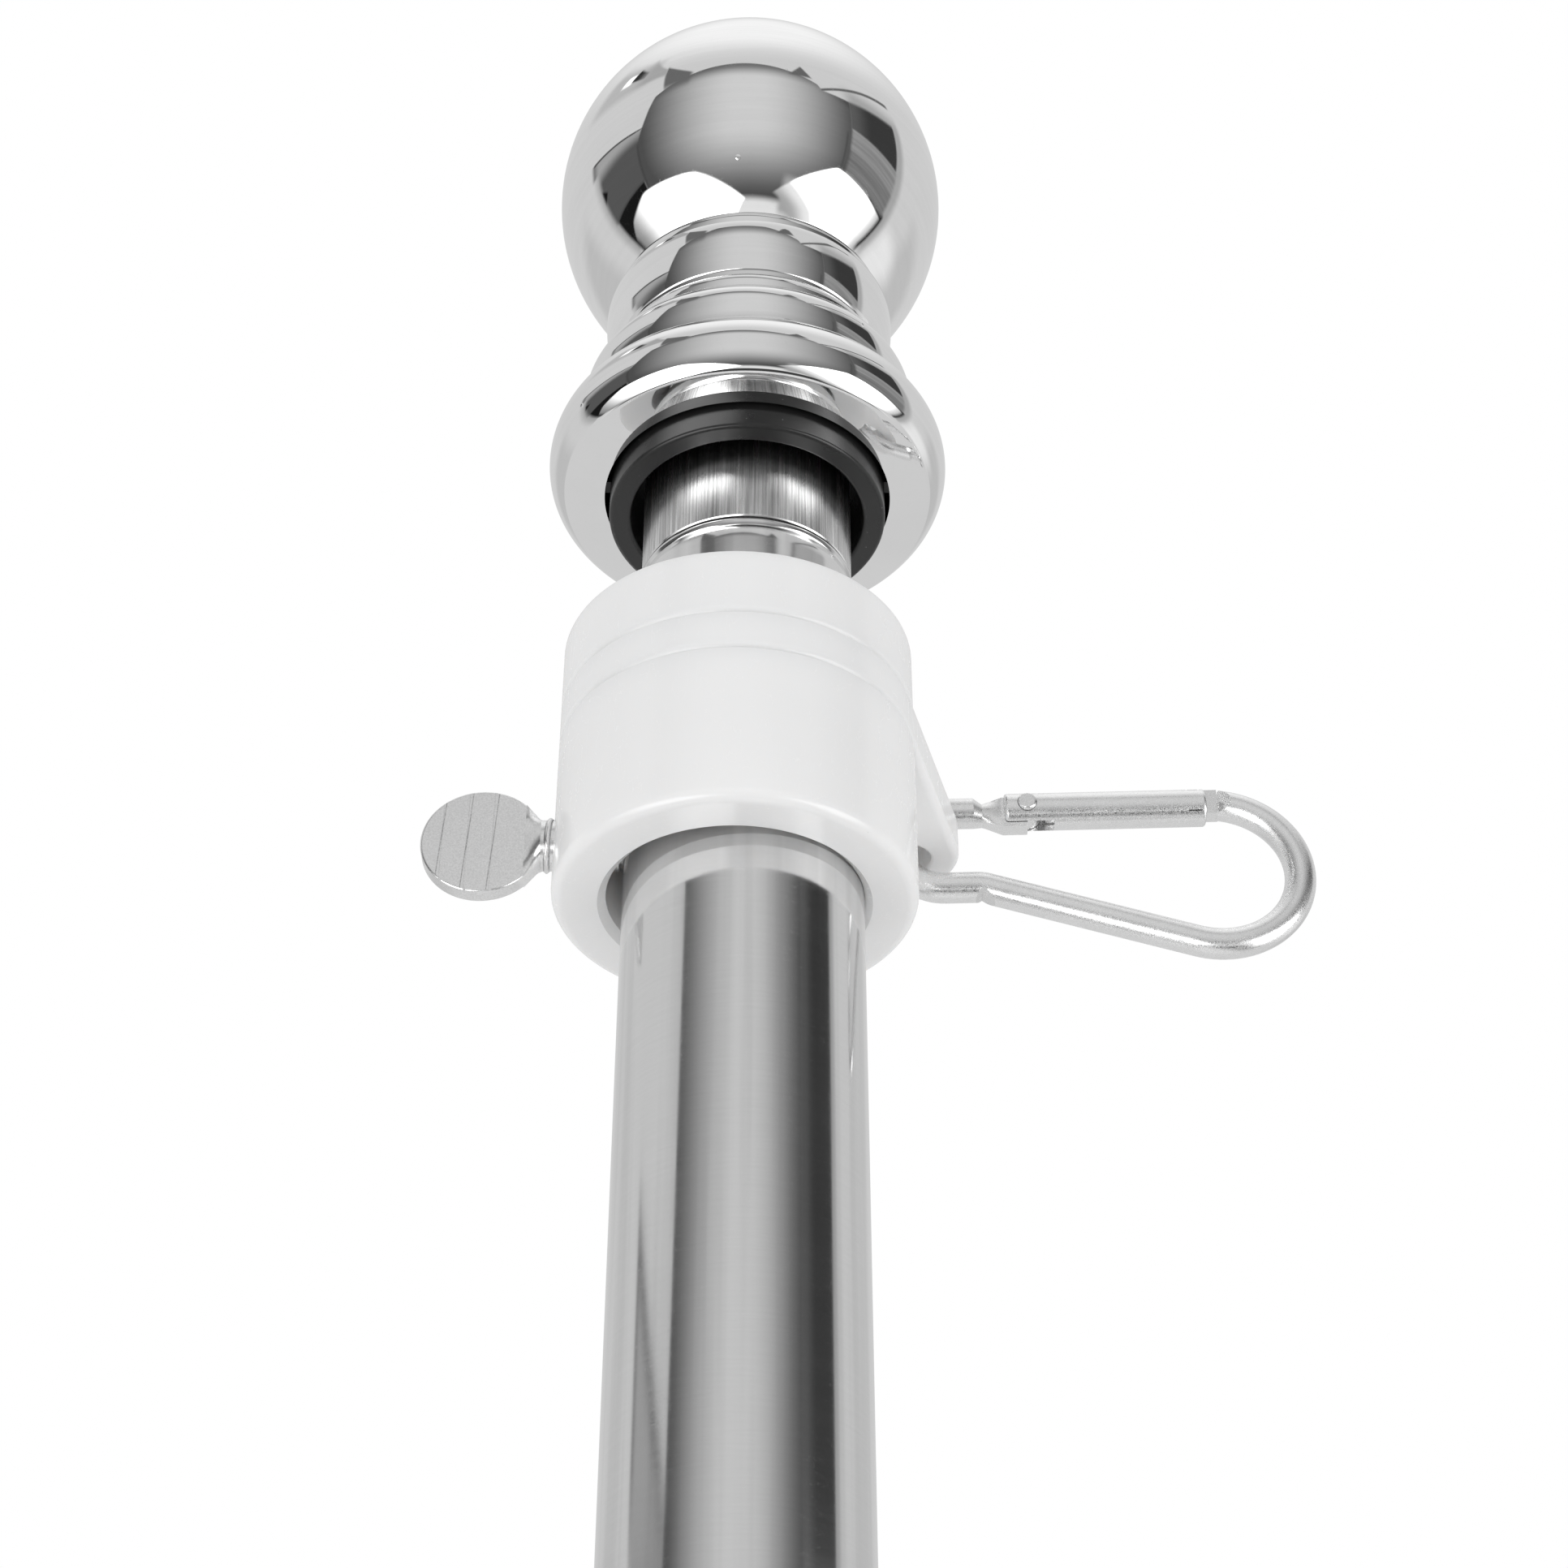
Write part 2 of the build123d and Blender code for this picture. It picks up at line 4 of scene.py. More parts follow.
import bmesh
import bpy
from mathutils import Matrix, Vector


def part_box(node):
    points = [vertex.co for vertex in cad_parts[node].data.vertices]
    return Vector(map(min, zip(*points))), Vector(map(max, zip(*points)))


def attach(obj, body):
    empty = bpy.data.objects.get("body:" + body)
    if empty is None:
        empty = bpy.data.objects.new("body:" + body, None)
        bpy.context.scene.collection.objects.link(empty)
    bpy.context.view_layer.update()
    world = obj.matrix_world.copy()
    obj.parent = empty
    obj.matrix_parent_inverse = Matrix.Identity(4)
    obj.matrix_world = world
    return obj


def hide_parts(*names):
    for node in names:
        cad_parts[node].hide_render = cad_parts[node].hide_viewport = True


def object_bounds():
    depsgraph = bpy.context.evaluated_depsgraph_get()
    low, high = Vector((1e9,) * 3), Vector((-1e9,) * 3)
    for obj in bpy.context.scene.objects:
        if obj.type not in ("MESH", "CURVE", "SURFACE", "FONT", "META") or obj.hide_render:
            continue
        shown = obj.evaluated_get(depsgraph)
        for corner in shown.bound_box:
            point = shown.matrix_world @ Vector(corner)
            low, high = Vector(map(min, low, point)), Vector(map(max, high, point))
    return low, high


# A sectional flagpole with a chromed ball finial, seen from below its upper ring. Lengths are in
# metres, the frame's own. The pole stands on z = 0, its snap hooks point along +X.
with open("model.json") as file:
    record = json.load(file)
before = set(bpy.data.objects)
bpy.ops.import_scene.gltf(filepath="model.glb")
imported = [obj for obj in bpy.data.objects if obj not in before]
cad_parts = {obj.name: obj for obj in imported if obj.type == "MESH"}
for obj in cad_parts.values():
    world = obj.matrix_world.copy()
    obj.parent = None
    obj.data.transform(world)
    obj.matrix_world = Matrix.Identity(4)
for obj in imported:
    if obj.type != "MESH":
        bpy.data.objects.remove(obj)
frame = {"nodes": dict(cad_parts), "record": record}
cad_low, cad_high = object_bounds()
scene = bpy.context.scene
MM = 0.001

# Sizes of the pole that the looks and the added pieces share with the CAD, in millimetres.
FOOT_FLANGE = 3.0  # the foot plug's flange, below the lowest tube
SECTION_STEP = 352.0  # a tube's lower end to its shoulder
TUBE_R = 14.0
TUBE_WALL = 0.6
COLLAR_R = 13.35
COLLAR_HEIGHT = 17.0  # shoulder to the collar's top
TENON_R = 13.15
TENON_HEIGHT = 35.0  # collar's top to the tenon's end
RIDGE_HEIGHT = 1.4  # the rolled ridge above the collar's top
RING_SPACING = 900.0  # from the lower ring to the upper one


# Node trees. Each helper adds nodes and gives back what the last of them puts out.

def node(tree, kind, inputs, output=0, **settings):
    new = tree.nodes.new("ShaderNode" + kind)
    for name, value in settings.items():
        setattr(new, name, value)
    for key, value in inputs.items():
        if isinstance(value, bpy.types.NodeSocket):
            tree.links.new(value, new.inputs[key])
        else:
            new.inputs[key].default_value = value
    return new.outputs[output]


def calc(tree, operation, *values):
    return node(tree, "Math", dict(enumerate(values)), operation=operation)


def split(tree, vector):
    """The three coordinates of a vector."""
    first = node(tree, "SeparateXYZ", {0: vector})
    return first, first.node.outputs[1], first.node.outputs[2]


def from_axis(tree, x, y):
    """Distance from the pole's axis."""
    square = calc(tree, "ADD", calc(tree, "MULTIPLY", x, x), calc(tree, "MULTIPLY", y, y))
    return calc(tree, "POWER", square, 0.5)


def smooth(tree, value, low, high):
    """0 below low and 1 above high, with a soft passage between."""
    inputs = {"Value": value, "From Min": low, "From Max": high}
    return node(tree, "MapRange", inputs, interpolation_type="SMOOTHSTEP")


def band(tree, value, low, high, soft):
    """1 between low and high, and 0 outside, with soft edges."""
    rise = smooth(tree, value, low - soft, low + soft)
    fall = smooth(tree, value, high + soft, high - soft)
    return calc(tree, "MULTIPLY", rise, fall)


def blend(tree, amount, first, second):
    """Runs from the number first to the number second as amount goes from 0 to 1."""
    inputs = {"Factor": amount, 2: first, 3: second}
    return node(tree, "Mix", inputs, data_type="FLOAT")


def noise(tree, place, scale, detail=2.0):
    return node(tree, "TexNoise", {"Vector": place, "Scale": scale, "Detail": detail})


def stretch(tree, place, x, y, z):
    return node(tree, "VectorMath", {0: place, 1: (x, y, z)}, operation="MULTIPLY")


def bump(tree, height, depth, normal=None):
    """Turns a height from 0 to 1 into relief of the given depth."""
    inputs = {"Height": height, "Distance": depth, "Strength": 1.0}
    if normal is not None:
        inputs["Normal"] = normal
    return node(tree, "Bump", inputs)


def specks(tree, place, size, radius, share):
    """1 on small round spots: one in some cells, each cell about size across."""
    inputs = {"Vector": place, "Scale": 1 / size}
    distance = node(tree, "TexVoronoi", inputs, output="Distance")
    chance = node(tree, "SeparateColor", {0: distance.node.outputs["Color"]})
    spot = smooth(tree, distance, radius, 0.4 * radius)
    return calc(tree, "MULTIPLY", spot, calc(tree, "LESS_THAN", chance, share))


def hairlines(tree, place, across, along, share):
    """1 on fine scratches: thin slices of a stretched noise."""
    field = noise(tree, stretch(tree, place, across, across, along), 1.0, detail=3.0)
    near = calc(tree, "ABSOLUTE", calc(tree, "SUBTRACT", field, 0.5))
    return smooth(tree, near, share, 0.0)


# Studio: what polished metal mirrors is a white tent with dark panels, a grey disc and two
# softboxes in front of it. Directions are in degrees: azimuth 0 is towards the camera, 90 is +X.

TENT = 0.67
TENT_TOP = 1.0
# Each shape is its brightness and the sides that bound it, painted from back to front. A side
# (turn, rise, limit, soft) keeps what has turn * azimuth + rise * elevation below limit.
BACK_PANELS = (
    (0.56, (-1, 0, -112, 7), (1, 0, 152, 9), (0, -1, 16, 4), (0, 1, 18, 6)),
    (0.56, (1, 0, -112, 7), (-1, 0, 152, 9), (0, -1, 16, 4), (0, 1, 18, 6)),
    (0.90, (-1, 0, -96, 6), (1, 0, 120, 12), (0, -1, 24, 4), (0, 1, -2, 6)),
)
FABRIC_FOLDS = (
    (0.52, (0, 1, 63, 3), (0, -1, -50, 3), (-1, 0, 116, 8), (1, 0, -66, 5)),
    (1.60, (0, 1, 60, 1), (0, -1, -56, 1), (-1, 0, 96, 1.5), (1, 0, -87, 1.5)),
    (0.03, (0.25, 1, 40, 0.7), (-0.1, -1, -48, 0.7), (-1, 0, 88, 1), (1, 0, -74, 1)),
)
LEFT_PANEL = (
    (0.08, (0.156, 1, 13.5, 0.4), (-1, 0, 97, 2), (1, 0, -58, 1), (0, -1, -22, 1)),
    (0.40, (0.156, 1, 12.4, 0.4), (-1, 0, 95, 4), (1, 0, -58, 1), (0, -1, 24, 1)),
    (0.10, (0, 1, 19, 4), (-1, 0, 92, 2), (1, 0, -58, 1), (0, -1, 6, 1)),
    (0.01, (0, 1, -5.5, 1), (-1, 0, 91, 1.5), (1, 0, -64, 1), (0, -1, 30, 3)),
    (0.01, (0.9, 1, -70, 1), (0.9, -1, -89, 1), (-1, 0, 92, 1)),
)
RIGHT_PANEL = (
    (0.42, (0, 1, 44, 4), (1, 0, 94, 2.5), (-1, 0, -55, 6), (0, -1, 24, 2)),
    (0.115, (-0.1, 1, 31.2, 1.5), (1, 0, 88.3, 1), (-1, 0, -56, 1), (0, -1, -20.5, 1)),
    (0.045, (-0.1, 1, 31.2, 1.5), (1, 0, 88.3, 1), (-1, 0, -63, 7), (0, -1, -20.5, 1)),
    (0.01, (0, 1, -3, 1.5), (1, 0, 90.5, 1), (-1, 0, -76, 1), (0, -1, 26, 2)),
)
WOOD_SIDES = ((0, 1, 20, 1), (1, 0, 89, 1.5), (-1, 0, -54.5, 0.7), (0, -1, 5, 1), (0.4, -1, 40, 3))
CORNERS = (
    (0.15, (0.425, 1, 33, 0.8), (-1, -0.38, 34.2, 1), (0, -1, -40, 4), (1, 0, -34, 2)),
    (0.42, (0.425, 1, 32, 0.8), (1, 0.38, -34.2, 1), (0, -1, -51, 1.5), (-1, 0, 76, 8)),
    (0.14, (-0.9, 1, 23.5, 1), (1.55, 1, 98, 1.5), (0, -1, -43, 1)),
)
DISC_LEFT = ((-1, 0, 64, 0.7), (-1, 0.39, 68.6, 0.7))
DISC_RIGHT = (1, 0.61, 62.3, 0.7)
DISC_WING = ((0, 1, 36.6, 0.6), (1, 0, 57, 1.5))  # a wider part, low on the right
DISC_END = (1, 0, 57, 1.5)
DISC_RIM = (
    (0.09, (0, 1, 17, 2), (1, 0, 54.6, 0.5), (-1, 0, -53.4, 0.5), (0, -1, 4, 1)),
    (0.07, (0, 1, 15, 2), (1, 0, -62.4, 0.5), (-1, 0, 63.6, 0.5), (0, -1, 11, 1)),
)
BELOW = (
    (0.85, (0, 1, -40, 3), (1, 0, 100, 5), (-1, 0, 100, 5)),
    (0.05, (0, 1, -47.5, 2), (1, 0, 100, 5), (-1, 0, 100, 5)),
    (0.42, (-1, 0, -23, 3), (0, 1, -24, 3), (0, -1, 44, 2), (1, 0, 60, 5)),
)
LEFT_BOX = (
    (0.22, 1, -25.5, 1), (0.73, 1, -43.3, 2), (-1, 0, 88.5, 2), (-1, 1, 68, 1),
    (-0.3, 1, 9.8, 1), (1, -1.33, 50, 2), (1, -3.2, 140, 2), (0, -1, 58, 1.5),
)
RIGHT_BOX = (
    (0, 1, -6, 0.7), (-0.81, 1, -48.8, 1.2), (1, 0, 88.5, 1.5), (-1, -2, 52, 4), (0, -1, 58, 1.5),
)
BOX_LIGHT = 3.5
# A curved rod above the panels on the right.
ROD_MIDDLE = 90.0
ROD_BEND = 0.0048  # degrees of height for each square degree aside
ROD_HEIGHT = (48.2, 49.8, 0.5)
ROD_SPAN = (38, 91, 1.5)
ROD_SHADE = 0.14
# The disc: its middle, its shades at the rim and in the middle, the darkest that it gets, and the
# arches over it, of which the inner one dims it and the outer one ends it.
DISC_MIDDLE = -1
DISC_SHADES = (0.05, 0.68)
DISC_DARKEST = 0.085
ARCH_MIDDLE = -6.0
INNER_ARCH_BEND, OUTER_ARCH_BEND = 0.002, 0.005


def side_of(tree, azimuth, elevation, turn, rise, limit, soft):
    """1 on the kept side of a soft edge and 0 past it."""
    lean = calc(
        tree, "ADD",
        calc(tree, "MULTIPLY", azimuth, turn), calc(tree, "MULTIPLY", elevation, rise),
    )
    return smooth(tree, lean, limit + soft, limit - soft)


def inside(tree, azimuth, elevation, sides):
    """1 where every side keeps the direction."""
    share = side_of(tree, azimuth, elevation, *sides[0])
    for side in sides[1:]:
        share = calc(tree, "MULTIPLY", share, side_of(tree, azimuth, elevation, *side))
    return share


def paint(tree, azimuth, elevation, shade, shapes):
    """Lays each shape over the shade, at its own brightness."""
    for brightness, *sides in shapes:
        shade = blend(tree, inside(tree, azimuth, elevation, sides), shade, brightness)
    return shade


def arch(tree, azimuth, elevation, middle, bend):
    """Elevation raised towards the sides, so that a level edge bows up in the middle."""
    across = calc(tree, "SUBTRACT", azimuth, middle)
    square = calc(tree, "MULTIPLY", across, across)
    return calc(tree, "ADD", elevation, calc(tree, "MULTIPLY", square, bend))


def studio_shade(tree):
    """Brightness of the studio in each direction."""
    direction = node(tree, "TexCoord", {}, output="Generated")
    x, y, z = split(tree, direction)
    turn = calc(tree, "ARCTAN2", x, calc(tree, "MULTIPLY", y, -1.0))
    azimuth = calc(tree, "DEGREES", turn)
    elevation = calc(tree, "DEGREES", calc(tree, "ARCSINE", z))
    sky = (tree, azimuth, elevation)
    shade = blend(tree, smooth(tree, elevation, 52, 80), TENT, TENT_TOP)
    shade = paint(*sky, shade, BACK_PANELS + FABRIC_FOLDS + LEFT_PANEL + RIGHT_PANEL)
    # ribbed panel beside the disc
    across = calc(tree, "MULTIPLY", azimuth, 0.02)
    along = calc(tree, "MULTIPLY", elevation, 0.5)
    ribs = noise(tree, node(tree, "CombineXYZ", {0: across, 1: along}), 1.0, detail=3.0)
    wood = blend(tree, smooth(tree, elevation, 7.5, 9.5), 0.20, 0.30)
    wood = calc(tree, "MULTIPLY", wood, blend(tree, ribs, 0.5, 1.5))
    shade = blend(tree, inside(*sky, WOOD_SIDES), shade, wood)
    bowed = arch(*sky, ROD_MIDDLE, ROD_BEND)
    rod = calc(
        tree, "MULTIPLY",
        band(tree, bowed, *ROD_HEIGHT), band(tree, azimuth, *ROD_SPAN),
    )
    shade = blend(tree, rod, shade, ROD_SHADE)
    # disc, brightest in the middle
    aside = calc(tree, "ABSOLUTE", calc(tree, "SUBTRACT", azimuth, DISC_MIDDLE))
    disc = blend(tree, smooth(tree, aside, 68, 5), *DISC_SHADES)
    disc = calc(tree, "MULTIPLY", disc, blend(tree, smooth(tree, elevation, -42, 5), 0.1, 1.0))
    dim = smooth(tree, arch(*sky, ARCH_MIDDLE, INNER_ARCH_BEND), 48.5, 38)
    disc = calc(tree, "MULTIPLY", disc, blend(tree, dim, 0.25, 1.0))
    disc = calc(tree, "MAXIMUM", disc, DISC_DARKEST)
    under_arch = smooth(tree, arch(*sky, ARCH_MIDDLE, OUTER_ARCH_BEND), 49.8, 49.0)
    wing = inside(*sky, DISC_WING)
    shape = calc(tree, "MULTIPLY", under_arch, side_of(*sky, *DISC_RIGHT))
    shape = calc(tree, "MAXIMUM", shape, wing)
    shape = calc(tree, "MULTIPLY", shape, inside(*sky, DISC_LEFT))
    shape = calc(tree, "MULTIPLY", shape, side_of(*sky, *DISC_END))
    shade = blend(tree, shape, shade, disc)
    shade = paint(*sky, shade, CORNERS + DISC_RIM + BELOW)
    # softboxes, dimmer towards their outer ends
    glow = blend(tree, smooth(tree, azimuth, -88, -50), 0.3, BOX_LIGHT)
    shade = blend(tree, inside(*sky, LEFT_BOX), shade, glow)
    glow = blend(tree, smooth(tree, azimuth, 89, 72), 0.6, BOX_LIGHT)
    corner = calc(tree, "ADD", azimuth, calc(tree, "MULTIPLY", elevation, 2.0))
    faded = blend(tree, smooth(tree, corner, -50, -30), 0.13, 0.27)
    faded = blend(tree, smooth(tree, corner, -30, -15), faded, 1.0)
    glow = calc(tree, "MULTIPLY", glow, faded)
    return blend(tree, inside(*sky, RIGHT_BOX), shade, glow)


# What lights matt surfaces: an even surround, and a pair of tall panels in front and one behind.
EVEN_LIGHT = 0.70
PANEL_SIZE = (0.8, 1.8)
PANEL_ASIDE = 1.3
PANELS = ((-1.1, 8.5), (1.3, 5.0))  # each pair's depth from the object's middle, and power


def make_world():
    """Mirrors and glass see the studio, matt surfaces an even light, and the camera white."""
    world = bpy.data.worlds.new("studio")
    world.use_nodes = True
    scene.world = world
    tree = world.node_tree
    tree.nodes.clear()
    rays = node(tree, "LightPath", {}, output="Is Camera Ray")
    mirrored = calc(
        tree, "MAXIMUM",
        rays.node.outputs["Is Glossy Ray"], rays.node.outputs["Is Transmission Ray"],
    )
    even = node(tree, "Background", {"Color": (1, 1, 1, 1), "Strength": EVEN_LIGHT})
    studio = node(tree, "Background", {"Color": (1, 1, 1, 1), "Strength": studio_shade(tree)})
    white = node(tree, "Background", {"Color": (1, 1, 1, 1), "Strength": 1.0})
    lit = node(tree, "MixShader", {0: mirrored, 1: even, 2: studio})
    seen = node(tree, "MixShader", {0: rays, 1: lit, 2: white})
    output = tree.nodes.new("ShaderNodeOutputWorld")
    tree.links.new(seen, output.inputs["Surface"])


def add_panel(target, aside, depth, power):
    """A tall soft panel that lights the object without showing in its reflections."""
    data = bpy.data.lights.new("panel", "AREA")
    data.shape = "RECTANGLE"
    data.size, data.size_y = PANEL_SIZE
    data.energy = power
    lamp = bpy.data.objects.new("panel", data)
    scene.collection.objects.link(lamp)
    lamp.location = (target.x + aside, target.y + depth, target.z)
    aim = target - lamp.location
    lamp.rotation_euler = aim.to_track_quat("-Z", "Y").to_euler()
    lamp.visible_glossy = False


CAMERA_PLACE = (4.71 * MM, -272.6 * MM)
CAMERA_BELOW_RING = 187.0 * MM
CAMERA_TILT = 36.9  # degrees above level
LENS = 65.8
SENSOR_WIDTH = 36


def make_camera():
    """Below the upper ring and close to it, looking up the pole."""
    data = bpy.data.cameras.new("camera")
    camera = bpy.data.objects.new("camera", data)
    scene.collection.objects.link(camera)
    ring_foot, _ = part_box("upper_ring_body")
    data.sensor_width = SENSOR_WIDTH
    data.lens = LENS
    data.clip_start = 0.01
    camera.location = (*CAMERA_PLACE, ring_foot.z - CAMERA_BELOW_RING)
    camera.rotation_euler = (math.radians(90 + CAMERA_TILT), 0, 0)
    scene.camera = camera


# Materials, one for each slot of the record.

def new_material(name, color, metallic, roughness):
    """A plain Principled material: its tree, its shader, and the object's own coordinates."""
    material = bpy.data.materials.new(name)
    material.use_nodes = True
    tree = material.node_tree
    shader = tree.nodes["Principled BSDF"]
    shader.inputs["Base Color"].default_value = (*color, 1.0)
    shader.inputs["Metallic"].default_value = metallic
    shader.inputs["Roughness"].default_value = roughness
    place = node(tree, "TexCoord", {}, output="Object")
    return material, tree, shader, place


def set_input(tree, shader, name, value):
    tree.links.new(value, shader.inputs[name])


def gray(tree, value):
    """A neutral colour from a brightness."""
    return node(tree, "CombineColor", {0: value, 1: value, 2: value})


NIB_DIRECTION = (-0.05, -0.84, -0.54)  # from the ball's middle
NIB_TOP_R = 0.15 * MM
NIB_R = 0.4 * MM


def polished_chrome():
    """Mirror plating with polishing lines round it, faint hairlines, dust and a few pits."""
    material, tree, shader, place = new_material("polished_chrome", (0.9, 0.9, 0.9), 1.0, 0.03)
    haze = noise(tree, place, 45.0, detail=4.0)
    rings = noise(tree, stretch(tree, place, 1.0, 1.0, 26.0), 55.0, detail=4.0)
    lines = hairlines(tree, place, 700.0, 300.0, 0.006)
    pits = specks(tree, place, 7 * MM, 0.045, 0.2)
    dust = specks(tree, place, 2.4 * MM, 0.04, 0.1)
    tone = blend(tree, haze, 0.84, 0.93)
    tone = calc(tree, "MULTIPLY", tone, blend(tree, rings, 0.94, 1.04))
    tone = blend(tree, calc(tree, "MULTIPLY", lines, 0.08), tone, 0.6)
    tone = blend(tree, calc(tree, "MULTIPLY", dust, 0.3), tone, 0.55)
    set_input(tree, shader, "Base Color", gray(tree, tone))
    rough = blend(tree, smooth(tree, haze, 0.45, 0.75), 0.025, 0.07)
    rough = blend(tree, calc(tree, "MULTIPLY", lines, 0.4), rough, 0.2)
    rough = blend(tree, dust, rough, 0.2)
    set_input(tree, shader, "Roughness", rough)
    swirl = noise(tree, stretch(tree, place, 1.0, 1.0, 2.2), 110.0, detail=1.0)
    normal = bump(tree, swirl, 0.012 * MM)
    normal = bump(tree, pits, -0.05 * MM, normal)
    normal = bump(tree, ball_nib(tree, place), 0.05 * MM, normal)
    set_input(tree, shader, "Normal", normal)
    return material


def ball_nib(tree, place):
    """1 on the small grain under the plating on the ball's front."""
    low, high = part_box("finial_ball")
    radius = (high.x - low.x) / 2
    spot = (low + high) / 2
    spot.z = high.z - radius
    for axis, way in enumerate(NIB_DIRECTION):
        spot[axis] += way * radius
    ends = {0: place, 1: tuple(spot)}
    distance = node(tree, "VectorMath", ends, output="Value", operation="DISTANCE")
    return smooth(tree, distance, NIB_R, NIB_TOP_R)


def tenon_share(tree, place):
    """1 on the tubes' tenons, above the ridge that tops each collar."""
    x, y, z = split(tree, place)
    from_foot = calc(tree, "SUBTRACT", z, FOOT_FLANGE * MM)
    rise = calc(tree, "FLOORED_MODULO", from_foot, SECTION_STEP * MM)
    start = COLLAR_HEIGHT + RIDGE_HEIGHT
    above = smooth(tree, rise, (start - 0.1) * MM, (start + 0.1) * MM)
    slim = smooth(tree, from_axis(tree, x, y), (COLLAR_R + 0.02) * MM, COLLAR_R * MM)
    return calc(tree, "MULTIPLY", above, slim)


def stainless_tube():
    """Polished tube; its swaged tenon is rougher and brushed lengthwise."""
    material, tree, shader, place = new_material("stainless_tube", (0.8, 0.8, 0.8), 1.0, 0.12)
    tenon = tenon_share(tree, place)
    brushing = noise(tree, stretch(tree, place, 1.0, 1.0, 0.02), 3800.0, detail=4.0)
    strands = noise(tree, stretch(tree, place, 1.0, 1.0, 0.05), 900.0, detail=2.0)
    streaks = noise(tree, stretch(tree, place, 1.0, 1.0, 0.02), 260.0, detail=3.0)
    smears = noise(tree, stretch(tree, place, 1.0, 1.0, 4.0), 60.0, detail=6.0)
    rings = noise(tree, stretch(tree, place, 1.0, 1.0, 14.0), 220.0, detail=4.0)
    grain = noise(tree, place, 2500.0, detail=2.0)
    lines = hairlines(tree, stretch(tree, place, 1.0, 1.0, 3.0), 260.0, 260.0, 0.004)
    tone = blend(tree, smooth(tree, streaks, 0.4, 0.6), 0.69, 0.78)
    tone = calc(tree, "MULTIPLY", tone, blend(tree, rings, 0.965, 1.035))
    tone = blend(tree, calc(tree, "MULTIPLY", lines, 0.12), tone, 0.95)
    brushed_tone = blend(tree, smooth(tree, brushing, 0.3, 0.7), 0.45, 0.8)
    tone = blend(tree, tenon, tone, brushed_tone)
    set_input(tree, shader, "Base Color", gray(tree, tone))
    rough = blend(tree, smears, 0.06, 0.13)
    rough = blend(tree, calc(tree, "MULTIPLY", rings, 0.1), rough, 0.3)
    rough = blend(tree, calc(tree, "MULTIPLY", lines, 0.4), rough, 0.3)
    rough = blend(tree, tenon, rough, blend(tree, strands, 0.16, 0.36))
    set_input(tree, shader, "Roughness", rough)
    ridges = calc(tree, "MULTIPLY", brushing, tenon)
    normal = bump(tree, ridges, 0.009 * MM)
    normal = bump(tree, grain, 0.0006 * MM, normal)
    set_input(tree, shader, "Normal", normal)
    return material


def black_plastic():
    """Satin black moulding with a leathery grain and pale dust."""
    material, tree, shader, place = new_material("black_plastic", (0.03, 0.03, 0.03), 0.0, 0.42)
    cloud = noise(tree, place, 160.0, detail=3.0)
    grain = noise(tree, place, 1500.0, detail=2.0)
    dust = specks(tree, place, 0.9 * MM, 0.09, 0.14)
    lint = specks(tree, place, 4 * MM, 0.035, 0.35)
    tone = blend(tree, cloud, 0.008, 0.018)
    tone = blend(tree, calc(tree, "MULTIPLY", dust, 0.8), tone, 0.35)
    tone = blend(tree, lint, tone, 0.5)
    set_input(tree, shader, "Base Color", gray(tree, tone))
    set_input(tree, shader, "Roughness", blend(tree, cloud, 0.22, 0.36))
    set_input(tree, shader, "Normal", bump(tree, grain, 0.004 * MM))
    return material


def white_plastic():
    """Satin white moulding with flow marks, scuffs and a few specks."""
    material, tree, shader, place = new_material("white_plastic", (0.84, 0.84, 0.84), 0.0, 0.3)
    shader.inputs["Subsurface Weight"].default_value = 0.35
    shader.inputs["Subsurface Radius"].default_value = (3.6 * MM, 3.4 * MM, 3.2 * MM)
    shader.inputs["Subsurface Scale"].default_value = 1.0
    flow = noise(tree, stretch(tree, place, 1.0, 1.0, 2.5), 55.0, detail=3.0)
    grain = noise(tree, place, 1100.0, detail=2.0)
    scuffs = hairlines(tree, place, 420.0, 160.0, 0.004)
    dark = specks(tree, place, 4.5 * MM, 0.02, 0.18)
    tone = blend(tree, flow, 0.85, 0.87)
    tone = blend(tree, calc(tree, "MULTIPLY", scuffs, 0.1), tone, 0.6)
    tone = blend(tree, calc(tree, "MULTIPLY", dark, 0.4), tone, 0.45)
    set_input(tree, shader, "Base Color", gray(tree, tone))
    rough = blend(tree, flow, 0.13, 0.2)
    rough = blend(tree, scuffs, rough, 0.5)
    set_input(tree, shader, "Roughness", rough)
    set_input(tree, shader, "Normal", bump(tree, grain, 0.0012 * MM))
    return material


LINE_LEAN = -0.06  # along X for each unit up
LINES_START = 0.9 * MM  # from the disc's outer rim
LINES_END = 9.2 * MM  # past the third line, from the start
LINE_STEP = 3.05 * MM
LINE_OFFSET = 1.5 * MM  # of each line in its step
LINE_HALF_WIDTH = 0.1 * MM


